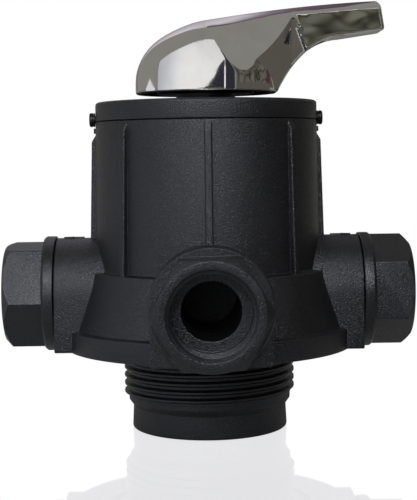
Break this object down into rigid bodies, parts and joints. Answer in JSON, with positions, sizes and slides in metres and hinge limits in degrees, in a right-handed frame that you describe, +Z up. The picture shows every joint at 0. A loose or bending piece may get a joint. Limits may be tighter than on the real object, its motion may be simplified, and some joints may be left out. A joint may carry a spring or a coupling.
{
  "type": "multiport valve",
  "caption": "Manual rotary filter valve with a ribbed black body, hexagonal pipe ports, a chromed turning lever and a threaded tank neck.",
  "frame": {"origin": "middle of the assembly's footprint at the bottom of the tank neck; the valve axis stands 12.1 mm behind it, on +Y", "axes": "+Z up the valve axis, -Y out of the front port, +X out of the right port and along the lever at rest"},
  "size_m": [0.1698, 0.1456, 0.1781],
  "materials": {
    "body_plastic": "fine spark-eroded grain, semi-matte",
    "cover_plastic": "fine grain, semi-matte",
    "adapter_plastic": "fine grain, slightly glossier than the body",
    "collar_plastic": "smooth, semi-matte",
    "chrome": "polished chromium plate on zinc",
    "screw_steel": "blackened",
    "inner_steel": "plain",
    "seal_rubber": "smooth moulded",
    "ceramic": "lapped",
    "stem_plastic": "moulded acetal",
    "dial": "satin printed plate"
  },
  "bodies": {
    "body": {"valve_body": "body_plastic", "top_cover": "cover_plastic", "dial_plate": "dial", "lock_screw_left": "screw_steel", "lock_screw_right": "screw_steel", "bonnet": "body_plastic", "bonnet_oring": "seal_rubber", "stop_pin": "inner_steel", "antifriction_washer": "stem_plastic", "fixed_disc": "ceramic", "disc_gasket": "seal_rubber", "port_adapter_left": "adapter_plastic", "port_adapter_right": "adapter_plastic", "port_adapter_front": "adapter_plastic", "port_oring_left": "seal_rubber", "port_oring_right": "seal_rubber", "port_oring_front": "seal_rubber", "riser_oring": "seal_rubber", "riser_retainer": "stem_plastic", "tank_oring": "seal_rubber", "detent_spring_left": "inner_steel", "detent_spring_right": "inner_steel"},
    "turning_works": {"lever_handle": "chrome", "handle_set_screw": "screw_steel", "handle_collar": "collar_plastic", "stem": "stem_plastic", "stem_oring_lower": "seal_rubber", "stem_oring_upper": "seal_rubber", "index_plate": "inner_steel", "moving_disc": "ceramic"},
    "ball_left": {"detent_ball_left": "inner_steel"},
    "ball_right": {"detent_ball_right": "inner_steel"}
  },
  "joints": [
    {"name": "handle_turn", "type": "hinge", "parent": "body", "child": "turning_works", "pos_m": [0, 0.0121, 0.14], "axis": [0, 0, 1], "range_deg": [-180, 0]},
    {"name": "detent_press_left", "type": "slide", "parent": "body", "child": "ball_left", "axis": [0, 0, 1], "range_m": [-0.001, 0], "stiffness_N_per_m": 400, "springref_m": 0.002, "deforming": ["detent_spring_left"]},
    {"name": "detent_press_right", "type": "slide", "parent": "body", "child": "ball_right", "axis": [0, 0, 1], "range_m": [-0.001, 0], "stiffness_N_per_m": 400, "springref_m": 0.002, "deforming": ["detent_spring_right"]}
  ]
}
